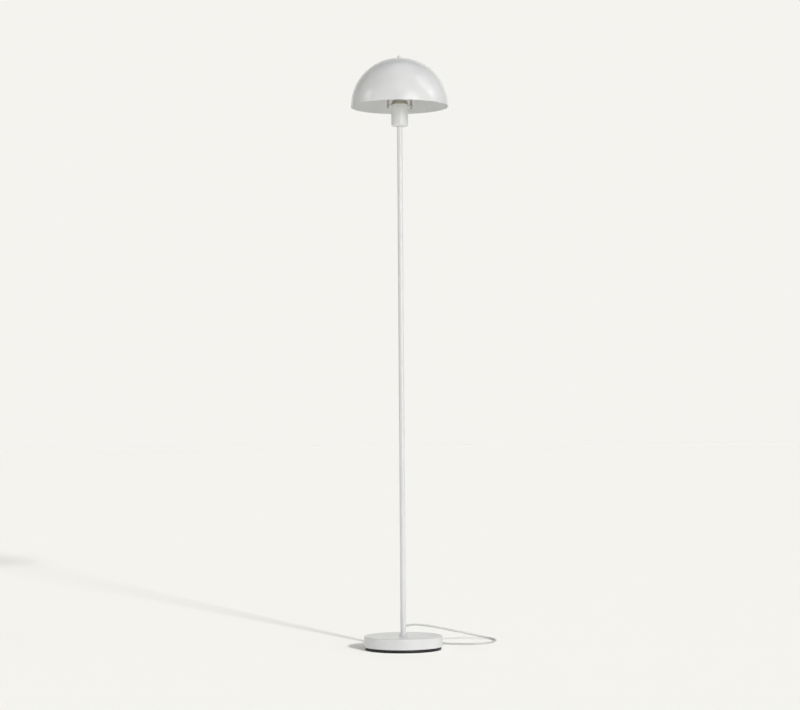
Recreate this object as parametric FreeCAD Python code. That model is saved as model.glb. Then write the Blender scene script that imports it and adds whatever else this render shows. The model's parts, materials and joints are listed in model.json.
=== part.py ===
import FreeCAD, Part
import math
import os

# A floor lamp: weighted round base, slim pole, half-round shade on a pivoting yoke.
# Millimetres, +Z up. The origin is the middle of the base's underside, on the floor.
# X runs to the viewer's right and Y away from the viewer.

# Base
base_radius = 100.0
base_top = 35.0
base_edge_radius = 2.5
base_wall = 1.2
shell_bottom = 8.2
pad_thickness = 2.0
pad_inset = 0.8
cover_inset = 3.2
cover_plate = 2.4
cover_wall = 2.4
cover_flange = 2.2
cover_post_radius = 5.5
cover_screw_count = 3
cover_screw_circle = 66.0
cover_screw_radius = 2.0
cover_screw_head = 3.8
cover_recess = 4.4
cover_screw_depth = 8.0
weight_thickness = 15.0
weight_chamfer = 2.0
bolt_radius = 5.0
bolt_head_width = 17.0
bolt_head_height = 6.4
bolt_length = 38.0
base_washer_radius = 15.0
base_washer_thickness = 2.0

# Pole
pole_radius = 7.0
pole_wall = 1.0
pole_length = 1301.0
pole_sections = 3
connector_length = 40.0
connector_wall = 1.8
foot_bush_length = 16.0
top_bush_length = 22.0
collar_radius = 10.35
collar_bevel = 0.6
collar_height = 4.2

# Where the cord leaves the pole
exit_height = 60.0
exit_azimuth = 50.0
bush_neck_radius = 3.2
bush_flange_radius = 4.0
bush_flange_thickness = 1.6
bush_tip_radius = 2.9
bush_length = 20.0
bush_depth = 1.0
conductor_radius = 0.9
conductor_spacing = 2.34
conductor_bend = 3.4

# Lampholder and the cup round it
nipple_bore = 3.6
nipple_below = 20.0
nipple_above = 17.0
locknut_width = 14.0
locknut_height = 3.0
cup_radius = 21.75
cup_height = 48.0
cup_wall = 1.0
cup_floor = 1.5
cup_edge_radius = 3.5
holder_radius = 19.6
holder_neck_radius = 9.0
holder_neck_height = 7.0
holder_flare = 6.0
holder_cap_height = 21.0
holder_wall = 2.2
sleeve_radius = 17.0
sleeve_height = 16.7
block_thickness = 7.0
block_boss = 4.5
screw_shell_radius = 14.2
screw_shell_wall = 0.6
screw_shell_height = 25.5
screw_shell_flange = 3.0
contact_height = 2.6
collar_ring_height = 7.5
collar_ring_step = 0.5
trunnion_radius = 3.3
locking_ring_height = 10.4
locking_ring_top_radius = 18.2
locking_ring_skirt = 2.6

# Yoke, shade and the knob that holds them together
yoke_azimuth = 17.0
yoke_half_width = 30.7
yoke_strap = 2.0
yoke_strap_width = 14.0
yoke_bend = 16.0
yoke_drop = 3.0
pivot_screw_radius = 2.0
pivot_head_radius = 3.8
pivot_head_height = 2.4
pivot_screw_grip = 6.0
pivot_washer_radius = 5.2
pivot_washer_thickness = 1.0
shade_radius = 125.0
shade_wall = 1.0
shade_drop = 1.75
shade_washer_radius = 8.0
stud_radius = 2.0
stud_length = 11.0
knob_radius = 4.2
knob_height = 7.2
stud_nut_width = 7.0
stud_nut_height = 3.2

# Lamp bulb, a small globe with an Edison screw cap
bulb_radius = 22.5
bulb_neck_radius = 12.6
bulb_neck_height = 4.0
bulb_cap_radius = 13.2
bulb_cap_height = 24.0
bulb_tip_radius = 4.5
bulb_tip_height = 1.2
bulb_cap_taper = 5.0
bulb_height = 54.5

# Mains cord, its switch and its plug
cord_diameter = 5.0
bend_share = 0.45
cord_route = [
    (27.6, 33.0, 60.0),
    (47.0, 58.5, 56.2),
    (72.0, 94.0, 49.7),
    (97.0, 134.5, 40.8),
    (126.0, 180.0, 30.7),
    (159.0, 225.0, 19.6),
    (181.0, 249.0, 12.4),
    (197.7, 255.7, 8.1),
    (215.5, 253.2, 4.8),
    (229.7, 242.1, 3.0),
    (238.5, 224.1, 2.5),
    (243.7, 194.6, 2.5),
    (241.0, 166.0, 2.5),
    (233.0, 140.5, 2.5),
    (220.5, 118.5, 2.5),
    (203.5, 104.0, 2.5),
    (182.0, 97.5, 2.5),
    (159.0, 98.0, 2.5),
    (134.0, 103.5, 2.5),
    (108.0, 114.0, 2.5),
    (86.0, 124.0, 7.0),
    (66.0, 128.5, 7.0),
]
tail_route = [
    (-12.1, 146.1, 7.0),
    (-24.0, 147.6, 4.7),
    (-36.0, 148.5, 2.5),
]
coil_middle_x = -54.0
coil_start_y = 148.5
coil_inner_radius = 20.0
coil_turns = 3
coil_gap = 0.5
coil_reversal_step = 1.0
coil_lead_in = 12.0
coil_lead_out = 20.0
switch_length = 70.0
switch_width = 34.0
switch_corner = 13.0
switch_base_height = 7.0
switch_cover_height = 9.0
switch_top_edge = 2.5
switch_wall = 2.2
switch_post_radius = 3.0
switch_post_height = 3.5
switch_boss_radius = 3.4
switch_boss_end = 1.0
switch_screw_radius = 1.4
switch_screw_head = 2.5
switch_screw_recess = 0.6
switch_screw_margin = 2.0
switch_screw_spacing = 50.0
button_radius = 12.0
button_above = 5.0
button_flange = 1.4
button_wall = 1.6
button_crown = 4.8
button_edge = 1.5
spring_radius = 5.0
spring_wire = 1.1
spring_turns = 4
plug_width = 35.0
plug_height = 13.7
plug_length = 34.0
plug_neck_length = 18.0
plug_neck_radius = 3.4
plug_neck_lip = 0.4
plug_shoulder = 9.0
plug_pin_radius = 2.0
plug_pin_length = 19.0
plug_pin_spacing = 18.6
plug_pin_seat = 6.0
plug_sleeve_radius = 1.7
plug_sleeve_length = 10.0

# Shares of a round end or a corner that its fillet takes up
knob_rounding = 0.6
pin_rounding = 0.6
plug_rounding = 0.3

# Clearances
running_clearance = 0.06
thread_clearance = 0.03
slip_clearance = 0.3
hole_clearance = 0.2
face_clearance = 0.05

# Heights and radii that follow
cover_radius = base_radius - cover_inset
pad_radius = cover_radius - pad_inset
pole_bore = pole_radius - pole_wall
pole_bottom = base_top
pole_top = pole_bottom + pole_length
section_length = pole_length / pole_sections
cup_bottom = pole_top
cup_top = cup_bottom + cup_height
nipple_radius = bolt_radius
holder_bottom = cup_bottom + cup_floor + locknut_height + slip_clearance
holder_split = holder_bottom + holder_cap_height
sleeve_top = cup_top + sleeve_height
block_bottom = holder_split
block_top = block_bottom + block_thickness
shell_seat = block_top + block_boss
ring_top = cup_top + collar_ring_height
pivot_height = cup_top + collar_ring_height / 2
trunnion_end = yoke_half_width - yoke_strap / 2 - pivot_washer_thickness - face_clearance
locking_ring_top = ring_top + locking_ring_height
shade_bore = shade_radius - shade_wall
shade_centre = pivot_height - shade_drop
shade_top = shade_centre + shade_radius
yoke_top = shade_centre + shade_bore - yoke_drop
bulb_cap_bottom = shell_seat + contact_height + face_clearance
bulb_cap_top = bulb_cap_bottom + bulb_cap_height
weight_top = base_top - base_wall
weight_bottom = weight_top - weight_thickness
shell_bore = base_radius - base_wall
switch_height = switch_base_height + switch_cover_height


def point(x, y, z):
    return FreeCAD.Vector(x, y, z)


up = point(0, 0, 1)


def radial(azimuth, distance=1.0, height=0.0):
    """A point at a distance from the Z axis, in the direction of an azimuth in degrees."""
    angle = math.radians(azimuth)
    return point(distance * math.cos(angle), distance * math.sin(angle), height)


def revolved(corners):
    """A solid of revolution about Z; the corners are (radius, height) pairs."""
    outline = [point(radius, 0, height) for radius, height in corners]
    face = Part.Face(Part.makePolygon(outline + outline[:1]))
    return face.revolve(point(0, 0, 0), up, 360)


def disc(radius, bottom, top):
    return Part.makeCylinder(radius, top - bottom, point(0, 0, bottom))


def pipe(outer, inner, bottom, top):
    return disc(outer, bottom, top).cut(disc(inner, bottom, top))


def rod(radius, start, end):
    """A round bar between two points."""
    return Part.makeCylinder(radius, (end - start).Length, start, end - start)


def hexagon(width, bottom, top):
    """A hexagonal bar about Z, measured across its flats."""
    reach = width / 2 / math.cos(math.radians(30))
    corners = [radial(60 * side, reach, bottom) for side in range(6)]
    return Part.Face(Part.makePolygon(corners + corners[:1])).extrude(up * (top - bottom))


def ring_edges(solid, radius, height):
    """The round edges of that radius that lie level at that height."""
    found = []
    for edge in solid.Edges:
        if isinstance(edge.Curve, Part.Circle):
            same_height = abs(edge.Curve.Center.z - height) < 1e-6
            if same_height and abs(edge.Curve.Radius - radius) < 1e-6:
                found.append(edge)
    return found


def softened(solid, fillet, radius, height):
    return solid.makeFillet(fillet, ring_edges(solid, radius, height))


def upright_edges(solid):
    return [edge for edge in solid.Edges if abs(abs(edge.tangentAt(edge.FirstParameter).z) - 1) < 1e-6]


def grouped(solids):
    return Part.makeCompound(solids)


def at_yoke(shape):
    """Turns what was built along X to the direction of the yoke's pivots."""
    return shape.rotate(point(0, 0, 0), up, yoke_azimuth)


def both_sides(build):
    """The same piece on the two ends of the yoke, as separate solids."""
    right = build()
    left = build()
    left.rotate(point(0, 0, 0), up, 180)
    return [right, left]


# Base


def floor_pad():
    return disc(pad_radius, 0, pad_thickness)


def screw_places():
    return [radial(90 + 360 * n / cover_screw_count, cover_screw_circle) for n in range(cover_screw_count)]


def bottom_cover():
    """A moulded pan that closes the base; its posts reach up to the weight."""
    floor = pad_thickness
    top = shell_bottom + cover_flange
    step = shell_bottom + face_clearance
    outside = revolved([
        (0, floor),
        (cover_radius, floor),
        (cover_radius, step),
        (shell_bore - slip_clearance, step),
        (shell_bore - slip_clearance, top),
        (0, top),
    ])
    pan = outside.cut(disc(cover_radius - cover_wall, floor + cover_plate, top))
    for place in screw_places():
        post = Part.makeCylinder(cover_post_radius, weight_bottom - floor, place + up * floor)
        bore = Part.makeCylinder(cover_screw_radius + hole_clearance, weight_bottom - floor, place + up * floor)
        recess = Part.makeCylinder(cover_screw_head + hole_clearance, cover_recess, place + up * floor)
        pan = pan.fuse(post).cut(bore).cut(recess)
    return pan.removeSplitter()


def cover_screws():
    screws = []
    head_seat = pad_thickness + cover_recess
    for place in screw_places():
        start = place + up * (head_seat - cover_screw_radius)
        head = Part.makeCylinder(cover_screw_head, cover_screw_radius, start)
        tip = place + up * (weight_bottom + cover_screw_depth)
        screws.append(head.fuse(rod(cover_screw_radius, place + up * head_seat, tip)).removeSplitter())
    return grouped(screws)


def base_weight():
    """A cast iron disc, drilled for the bolt and tapped for the cover's screws."""
    radius = shell_bore - slip_clearance
    weight = disc(radius, weight_bottom, weight_top)
    edges = ring_edges(weight, radius, weight_top) + ring_edges(weight, radius, weight_bottom)
    weight = weight.makeChamfer(weight_chamfer, edges)
    weight = weight.cut(disc(bolt_radius + slip_clearance, weight_bottom, weight_top))
    for place in screw_places():
        hole_radius = cover_screw_radius + thread_clearance
        hole_depth = cover_screw_depth + slip_clearance
        weight = weight.cut(Part.makeCylinder(hole_radius, hole_depth, place + up * weight_bottom))
    return weight


def base_shell():
    """The spun steel cover of the base, open below."""
    outside = softened(disc(base_radius, shell_bottom, base_top), base_edge_radius, base_radius, base_top)
    inside = disc(shell_bore, shell_bottom, weight_top)
    inside = softened(inside, base_edge_radius - base_wall, shell_bore, weight_top)
    hole = disc(bolt_radius + slip_clearance, weight_top, base_top)
    return outside.cut(inside).cut(hole)


def base_washer():
    return pipe(base_washer_radius, bolt_radius + slip_clearance, weight_bottom - base_washer_thickness, weight_bottom)


def base_bolt():
    seat = weight_bottom - base_washer_thickness
    head = hexagon(bolt_head_width, seat - bolt_head_height, seat)
    head = head.common(revolved([
        (0, seat - bolt_head_height),
        (bolt_head_width / 2, seat - bolt_head_height),
        (bolt_head_width, seat - bolt_head_height / 2),
        (bolt_head_width, seat),
        (0, seat),
    ]))
    return head.fuse(disc(bolt_radius, seat, seat + bolt_length)).removeSplitter()


# Pole


def pole_foot_bush():
    bottom = pole_bottom + face_clearance
    return pipe(pole_bore - thread_clearance, bolt_radius + thread_clearance, bottom, bottom + foot_bush_length)


def pole_collar():
    outside = revolved([
        (0, base_top),
        (collar_radius, base_top),
        (collar_radius, base_top + collar_height / 2),
        (collar_radius - collar_bevel, base_top + collar_height),
        (0, base_top + collar_height),
    ])
    return outside.cut(disc(pole_radius + running_clearance, base_top, base_top + collar_height))


def pole_section(number):
    bottom = pole_bottom + number * section_length
    tube = pipe(pole_radius, pole_bore, bottom, bottom + section_length)
    if number == 0:
        hole = rod(
            bush_neck_radius + running_clearance,
            radial(exit_azimuth, 0, exit_height),
            radial(exit_azimuth, pole_radius * 2, exit_height),
        )
        tube = tube.cut(hole)
    return tube


def pole_connectors():
    """A threaded sleeve inside the pole at each of its joints."""
    outer = pole_bore - thread_clearance
    sleeves = []
    for joint in range(1, pole_sections):
        middle = pole_bottom + joint * section_length
        sleeves.append(pipe(outer, outer - connector_wall, middle - connector_length / 2, middle + connector_length / 2))
    return grouped(sleeves)


def pole_top_bush():
    top = pole_top - face_clearance
    return pipe(pole_bore - thread_clearance, nipple_radius + thread_clearance, top - top_bush_length, top)


def cord_bush():
    """The tapered strain relief, moulded on the cord and seated in the pole's side."""
    neck_start = pole_bore - bush_depth
    flange_start = pole_radius + face_clearance
    tip = pole_radius + bush_length
    shape = revolved([
        (0, neck_start),
        (bush_neck_radius, neck_start),
        (bush_neck_radius, flange_start),
        (bush_flange_radius, flange_start),
        (bush_flange_radius, flange_start + bush_flange_thickness),
        (bush_neck_radius, flange_start + bush_flange_thickness),
        (bush_tip_radius, tip),
        (0, tip),
    ])
    shape.rotate(point(0, 0, 0), point(0, 1, 0), 90)
    shape.rotate(point(0, 0, 0), up, exit_azimuth)
    shape.translate(up * exit_height)
    return shape


def conductors():
    """The cord's two insulated wires, from its strain relief up the pole to the lampholder."""
    start_reach = pole_bore - bush_depth
    rise_reach = start_reach - conductor_bend
    wires = []
    for side in (-1, 1):
        aside = radial(exit_azimuth + 90, side * conductor_spacing / 2)
        start = radial(exit_azimuth, start_reach, exit_height) + aside
        bend_end = radial(exit_azimuth, rise_reach, exit_height + conductor_bend) + aside
        slant = math.sqrt(0.5) * conductor_bend
        bend_middle = radial(exit_azimuth, start_reach - slant, exit_height + conductor_bend - slant) + aside
        top = point(bend_end.x, bend_end.y, block_bottom)
        path = [Part.Arc(start, bend_middle, bend_end).toShape(), Part.makeLine(bend_end, top)]
        wires.append(swept(path, conductor_radius))
    return grouped(wires)


# Lampholder


def holder_nipple():
    return pipe(nipple_radius, nipple_bore, cup_bottom - nipple_below, cup_bottom + nipple_above)


def holder_cup():
    outside = softened(disc(cup_radius, cup_bottom, cup_top), cup_edge_radius, cup_radius, cup_bottom)
    inner_radius = cup_radius - cup_wall
    inside = disc(inner_radius, cup_bottom + cup_floor, cup_top)
    inside = softened(inside, cup_edge_radius - cup_wall, inner_radius, cup_bottom + cup_floor)
    hole = disc(nipple_radius + hole_clearance, cup_bottom, cup_bottom + cup_floor)
    return outside.cut(inside).cut(hole)


def cup_locknut():
    bottom = cup_bottom + cup_floor
    nut = hexagon(locknut_width, bottom, bottom + locknut_height)
    return nut.cut(disc(nipple_radius + thread_clearance, bottom, bottom + locknut_height))


def lampholder_cap():
    """The lower half of the lampholder, screwed on the nipple."""
    flare_bottom = holder_bottom + holder_neck_height
    flare_top = flare_bottom + holder_flare
    bore = nipple_radius + thread_clearance
    return revolved([
        (bore, holder_bottom),
        (holder_neck_radius, holder_bottom),
        (holder_neck_radius, flare_bottom),
        (holder_radius, flare_top),
        (holder_radius, holder_split),
        (holder_radius - holder_wall, holder_split),
        (holder_radius - holder_wall, flare_top + holder_wall / 2),
        (holder_neck_radius, flare_bottom + holder_wall),
        (bore, flare_bottom + holder_wall),
    ])


def lampholder_body():
    """The upper half: a wide skirt in the cup and a narrower threaded sleeve above it."""
    shoulder = cup_top - hole_clearance
    return revolved([
        (holder_radius - holder_wall, holder_split),
        (holder_radius, holder_split),
        (holder_radius, shoulder),
        (sleeve_radius, shoulder),
        (sleeve_radius, sleeve_top),
        (screw_shell_radius + running_clearance, sleeve_top),
        (screw_shell_radius + running_clearance, block_top + slip_clearance),
        (holder_radius - holder_wall, block_top + slip_clearance),
    ])


def contact_block():
    """The ceramic insert that carries the contacts."""
    radius = holder_radius - holder_wall - hole_clearance
    boss = screw_shell_radius - slip_clearance
    block = disc(radius, block_bottom, block_top).fuse(disc(boss, block_top, shell_seat))
    return block.removeSplitter()


def screw_shell():
    """The metal liner with the Edison thread."""
    inner = screw_shell_radius - screw_shell_wall
    return revolved([
        (screw_shell_radius - screw_shell_flange, shell_seat),
        (screw_shell_radius, shell_seat),
        (screw_shell_radius, shell_seat + screw_shell_height),
        (inner, shell_seat + screw_shell_height),
        (inner, shell_seat + screw_shell_wall),
        (screw_shell_radius - screw_shell_flange, shell_seat + screw_shell_wall),
    ])


def centre_contact():
    """The sprung tongue that the bulb's tip presses on."""
    return revolved([
        (0, shell_seat),
        (bulb_tip_radius, shell_seat),
        (bulb_tip_radius, shell_seat + contact_height / 2),
        (bulb_tip_radius / 2, shell_seat + contact_height),
        (0, shell_seat + contact_height),
    ])


def holder_collar():
    """The ring on the cup's rim, with a trunnion for each arm of the yoke."""
    middle = cup_top + collar_ring_height / 2
    ring = revolved([
        (0, cup_top),
        (cup_radius, cup_top),
        (cup_radius, middle - collar_ring_step),
        (cup_radius - collar_ring_step, middle),
        (cup_radius - collar_ring_step, ring_top),
        (0, ring_top),
    ])
    for side in (-1, 1):
        boss_end = point(side * trunnion_end, 0, pivot_height)
        ring = ring.fuse(rod(trunnion_radius, point(0, 0, pivot_height), boss_end))
    ring = ring.cut(disc(sleeve_radius + slip_clearance, cup_top, ring_top))
    for side in (-1, 1):
        hole_start = point(side * (trunnion_end - pivot_screw_grip - slip_clearance), 0, pivot_height)
        hole_end = point(side * (trunnion_end + 1), 0, pivot_height)
        ring = ring.cut(rod(pivot_screw_radius + thread_clearance, hole_start, hole_end))
    return at_yoke(ring)


def locking_ring():
    """The ring nut on the threaded sleeve that clamps the collar on the cup."""
    bottom = ring_top
    lip = sleeve_top + face_clearance
    bore = sleeve_radius + running_clearance
    return revolved([
        (bore, bottom),
        (cup_radius - collar_ring_step, bottom),
        (cup_radius - collar_ring_step, bottom + locking_ring_skirt),
        (locking_ring_top_radius, locking_ring_top),
        (screw_shell_radius + slip_clearance, locking_ring_top),
        (screw_shell_radius + slip_clearance, lip),
        (bore, lip),
    ])


# Yoke and shade


def pivot_washers():
    def washer():
        start = point(trunnion_end + face_clearance / 2, 0, pivot_height)
        end = start + point(pivot_washer_thickness, 0, 0)
        hole_radius = pivot_screw_radius + running_clearance
        return rod(pivot_washer_radius, start, end).cut(rod(hole_radius, start, end))
    return at_yoke(grouped(both_sides(washer)))


def pivot_screws():
    def screw():
        tip = point(trunnion_end - pivot_screw_grip, 0, pivot_height)
        seat = point(yoke_half_width + yoke_strap / 2 + face_clearance, 0, pivot_height)
        top = seat + point(pivot_head_height, 0, 0)
        head = rod(pivot_head_radius, seat, top)
        rim = [edge for edge in head.Edges if abs(edge.CenterOfMass.x - top.x) < 1e-6]
        head = head.makeFillet(pivot_head_height / 2, rim)
        return rod(pivot_screw_radius, tip, seat).fuse(head).removeSplitter()
    return at_yoke(grouped(both_sides(screw)))


def arch(half_width, top, bend):
    """A block as wide as the yoke's strap, with its two upper corners rounded."""
    bottom = pivot_height - yoke_strap_width / 2
    corner = point(-half_width, -yoke_strap_width / 2, bottom)
    block = Part.makeBox(2 * half_width, yoke_strap_width, top - bottom, corner)
    corners = []
    for edge in block.Edges:
        middle = edge.CenterOfMass
        if abs(middle.z - top) < 1e-6 and abs(abs(middle.x) - half_width) < 1e-6:
            corners.append(edge)
    return block.makeFillet(bend, corners)


def yoke():
    """A flat strap bent to an upside-down U, with a rounded eye at each end."""
    outside = arch(yoke_half_width + yoke_strap / 2, yoke_top, yoke_bend)
    inside = arch(yoke_half_width - yoke_strap / 2, yoke_top - yoke_strap, yoke_bend - yoke_strap)
    strap = outside.cut(inside)
    reach = yoke_half_width + yoke_strap
    eye_ends = rod(yoke_strap_width / 2, point(-reach, 0, pivot_height), point(reach, 0, pivot_height))
    above = Part.makeBox(
        2 * reach, yoke_strap_width, yoke_top - pivot_height,
        point(-reach, -yoke_strap_width / 2, pivot_height),
    )
    strap = strap.common(above.fuse(eye_ends))
    hole_radius = pivot_screw_radius + running_clearance
    strap = strap.cut(rod(hole_radius, point(-reach, 0, pivot_height), point(reach, 0, pivot_height)))
    strap = strap.cut(disc(stud_radius + hole_clearance, yoke_top - yoke_strap, yoke_top))
    return at_yoke(strap)


def shade():
    """A spun half sphere with a plain cut rim."""
    middle = point(0, 0, shade_centre)
    outside = Part.makeSphere(shade_radius, middle, up, 0, 90)
    inside = Part.makeSphere(shade_bore, middle)
    bowl = outside.cut(inside)
    return bowl.cut(disc(stud_radius + hole_clearance, shade_top - 2 * shade_wall, shade_top))


def shade_washer():
    seat = math.sqrt(shade_bore ** 2 - shade_washer_radius ** 2) + shade_centre - face_clearance
    return pipe(shade_washer_radius, stud_radius + hole_clearance, yoke_top, seat)


def finial():
    """The small round knob on top; its stud goes down through the shade and the yoke."""
    knob = disc(knob_radius, shade_top, shade_top + knob_height)
    knob = softened(knob, knob_radius * knob_rounding, knob_radius, shade_top + knob_height)
    return knob.fuse(disc(stud_radius, shade_top - stud_length, shade_top)).removeSplitter()


def finial_nut():
    top = yoke_top - yoke_strap
    bottom = top - stud_nut_height
    return hexagon(stud_nut_width, bottom, top).cut(disc(stud_radius + thread_clearance, bottom, top))


# Bulb


def bulb_cap():
    return revolved([
        (0, bulb_cap_bottom),
        (bulb_tip_radius, bulb_cap_bottom),
        (bulb_tip_radius, bulb_cap_bottom + bulb_tip_height),
        (bulb_cap_radius, bulb_cap_bottom + bulb_cap_taper),
        (bulb_cap_radius, bulb_cap_top),
        (0, bulb_cap_top),
    ])


def bulb_globe():
    """A ball on a short neck; the neck's cone meets the ball at a tangent."""
    neck_top = bulb_cap_top + bulb_neck_height
    middle = bulb_cap_top + bulb_height - bulb_radius
    distance = math.hypot(bulb_neck_radius, middle - neck_top)
    to_neck = math.atan2(neck_top - middle, bulb_neck_radius)
    touch = to_neck + math.acos(bulb_radius / distance)
    touch_point = point(bulb_radius * math.cos(touch), 0, middle + bulb_radius * math.sin(touch))
    half_way = (touch + math.pi / 2) / 2
    side = point(bulb_radius * math.cos(half_way), 0, middle + bulb_radius * math.sin(half_way))
    top = point(0, 0, middle + bulb_radius)
    outline = [
        Part.makeLine(point(0, 0, bulb_cap_top), point(bulb_neck_radius, 0, bulb_cap_top)),
        Part.makeLine(point(bulb_neck_radius, 0, bulb_cap_top), point(bulb_neck_radius, 0, neck_top)),
        Part.makeLine(point(bulb_neck_radius, 0, neck_top), touch_point),
        Part.Arc(touch_point, side, top).toShape(),
        Part.makeLine(top, point(0, 0, bulb_cap_top)),
    ]
    return Part.Face(Part.Wire(outline)).revolve(point(0, 0, 0), up, 360)


# Cord


def swept(path, radius):
    """A round tube along edges that follow one another at a tangent."""
    first = path[0]
    start = first.valueAt(first.FirstParameter)
    direction = first.tangentAt(first.FirstParameter)
    ring = Part.Wire([Part.makeCircle(radius, start, direction)])
    return Part.Wire(path).makePipeShell([ring], True, False)


def bent_path(name, points):
    """Straight runs through the points, joined by arcs as large as the runs allow."""
    edges = []
    radii = []
    last = points[0]
    for before, corner, after in zip(points, points[1:], points[2:]):
        back = before - corner
        ahead = after - corner
        set_back = bend_share * min(back.Length, ahead.Length)
        back.normalize()
        ahead.normalize()
        half_turn = (math.pi - back.getAngle(ahead)) / 2
        radius = set_back / math.tan(half_turn)
        inward = (back + ahead).normalize()
        arc_start = corner + back * set_back
        arc_end = corner + ahead * set_back
        arc_middle = corner + inward * (radius / math.cos(half_turn) - radius)
        edges.append(Part.LineSegment(last, arc_start).toShape())
        edges.append(Part.Arc(arc_start, arc_middle, arc_end).toShape())
        radii.append(round(radius))
        last = arc_end
    edges.append(Part.LineSegment(last, points[-1]).toShape())
    print(name, "radii", radii)
    return edges


def checked_tube(name, path):
    """The cord along a path, with its volume set against its section times its length."""
    solid = swept(path, cord_diameter / 2)
    length = sum(edge.Length for edge in path)
    expected = math.pi * cord_diameter ** 2 / 4 * length
    print(name, "length", round(length, 1), "volume share", round(solid.Volume / expected, 4))
    return solid


def half_turns(start, outward, forward, reaches, heights):
    """Half circles from side to side of a middle line, each tangent to the next.

    The first begins at start, which lies reaches[0] from the middle along outward,
    and heads forward. The heights are added to that of the start.
    """
    middle = start - outward * reaches[0]
    stops = []
    for number, (reach, height) in enumerate(zip(reaches, heights)):
        side = 1 if number % 2 == 0 else -1
        stops.append(middle + outward * (side * reach) + up * height)
    arcs = []
    for number, (stop, following) in enumerate(zip(stops, stops[1:])):
        side = 1 if number % 2 == 0 else -1
        bulge = forward * (side * (following - stop).Length / 2)
        arcs.append(Part.Arc(stop, (stop + following) / 2 + bulge, following).toShape())
    return arcs


def least_gap(path, diameter):
    """The least distance between two turns of a wound tube, measured on points along it."""
    line = Part.Wire(path)
    step = 1.5
    places = line.discretize(int(line.Length / step))
    apart = int(4 * diameter / step)
    nearest = min(
        (a - b).Length
        for number, a in enumerate(places)
        for b in places[number + apart:]
    )
    return nearest - diameter


def switch_ends():
    """Where the cord enters and leaves the switch, and the direction from one to the other."""
    entry = point(*cord_route[-1])
    along = (entry - point(*cord_route[-2])).normalize()
    return entry, entry + along * switch_length, along


def cord():
    tip = radial(exit_azimuth, pole_radius + bush_length, exit_height)
    points = [tip] + [point(*place) for place in cord_route]
    return checked_tube("cord", bent_path("cord", points))


def coil_start():
    return point(coil_middle_x, coil_start_y, cord_diameter / 2)


def coil_lead_start():
    return coil_start() + point(coil_lead_in / 2, 0, 0)


def cord_tail():
    leave = switch_ends()[1]
    points = [leave] + [point(*place) for place in tail_route] + [coil_lead_start()]
    return checked_tube("cord_tail", bent_path("cord_tail", points))


def coil_path():
    """Spirals in on the floor, climbs in the half turn where it reverses, and spirals out on top."""
    pitch = cord_diameter + coil_gap
    outer = coil_inner_radius + coil_reversal_step + coil_turns * pitch
    inward = [outer - pitch * n / 2 for n in range(2 * coil_turns)]
    reaches = inward + [coil_inner_radius, coil_inner_radius] + inward[::-1]
    lower = [0.0] * (2 * coil_turns + 1)
    upper = [pitch] * (2 * coil_turns + 1)
    start = coil_start()
    arcs = half_turns(start, point(0, -1, 0), point(-1, 0, 0), reaches, lower + upper)
    end = arcs[-1].valueAt(arcs[-1].LastParameter)
    lead_in = Part.makeLine(coil_lead_start(), start)
    lead_out = Part.makeLine(end, end + point(coil_lead_out, 0, 0))
    return [lead_in] + arcs + [lead_out]


def cord_coil():
    path = coil_path()
    print("cord_coil least gap", round(least_gap(path, cord_diameter), 2))
    return checked_tube("cord_coil", path)


# Foot switch in the cord


def at_switch(shape):
    """Moves what was built about the origin, along X, to the switch's place on the cord."""
    entry, leave, along = switch_ends()
    shape.rotate(point(0, 0, 0), up, math.degrees(math.atan2(along.y, along.x)))
    middle = (entry + leave) / 2
    shape.translate(point(middle.x, middle.y, 0))
    return shape


def switch_block(inset, bottom, top):
    length = switch_length - 2 * inset
    width = switch_width - 2 * inset
    block = Part.makeBox(length, width, top - bottom, point(-length / 2, -width / 2, bottom))
    return block.makeFillet(switch_corner - inset, upright_edges(block))


def switch_screw_places():
    return [point(side * switch_screw_spacing / 2, 0, 0) for side in (-1, 1)]


def switch_base():
    """The lower shell, with the spring's post and the bosses for the screws."""
    floor = switch_wall
    shell = switch_block(0, 0, switch_base_height).cut(switch_block(switch_wall, floor, switch_base_height))
    shell = shell.fuse(disc(switch_post_radius, floor, floor + switch_post_height))
    for place in switch_screw_places():
        boss = Part.makeCylinder(switch_boss_radius, switch_base_height - floor, place + up * floor)
        bore = Part.makeCylinder(switch_screw_radius + hole_clearance, switch_base_height, place)
        shell = shell.fuse(boss).cut(bore)
        shell = shell.cut(Part.makeCylinder(switch_screw_head + slip_clearance, floor, place))
    return at_switch(shell.removeSplitter())


def switch_cover():
    """The upper shell, with a round opening for the button."""
    bottom = switch_base_height
    ceiling = switch_height - switch_wall
    outside = switch_block(0, bottom, switch_height)
    rim = [edge for edge in outside.Edges if abs(edge.CenterOfMass.z - switch_height) < 1e-6]
    shell = outside.makeFillet(switch_top_edge, rim).cut(switch_block(switch_wall, bottom, ceiling))
    for place in switch_screw_places():
        boss = Part.makeCylinder(switch_boss_radius, ceiling - bottom, place + up * bottom)
        hole_radius = switch_screw_radius + thread_clearance
        bore = Part.makeCylinder(hole_radius, ceiling - bottom - switch_boss_end, place + up * bottom)
        shell = shell.fuse(boss).cut(bore)
    shell = shell.cut(disc(button_radius + slip_clearance, ceiling, switch_height))
    return at_switch(shell.removeSplitter())


def switch_button():
    """A round cap, open below, held in by a flange under the cover."""
    ceiling = switch_height - switch_wall - face_clearance
    bottom = ceiling - button_flange
    top = switch_height + button_above
    cap = disc(button_radius, bottom, top)
    cap = softened(cap, button_edge, button_radius, top)
    cap = cap.fuse(disc(button_radius + button_flange, bottom, ceiling))
    cap = cap.cut(disc(button_radius - button_wall, bottom, top - button_crown))
    return at_switch(cap.removeSplitter())


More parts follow.
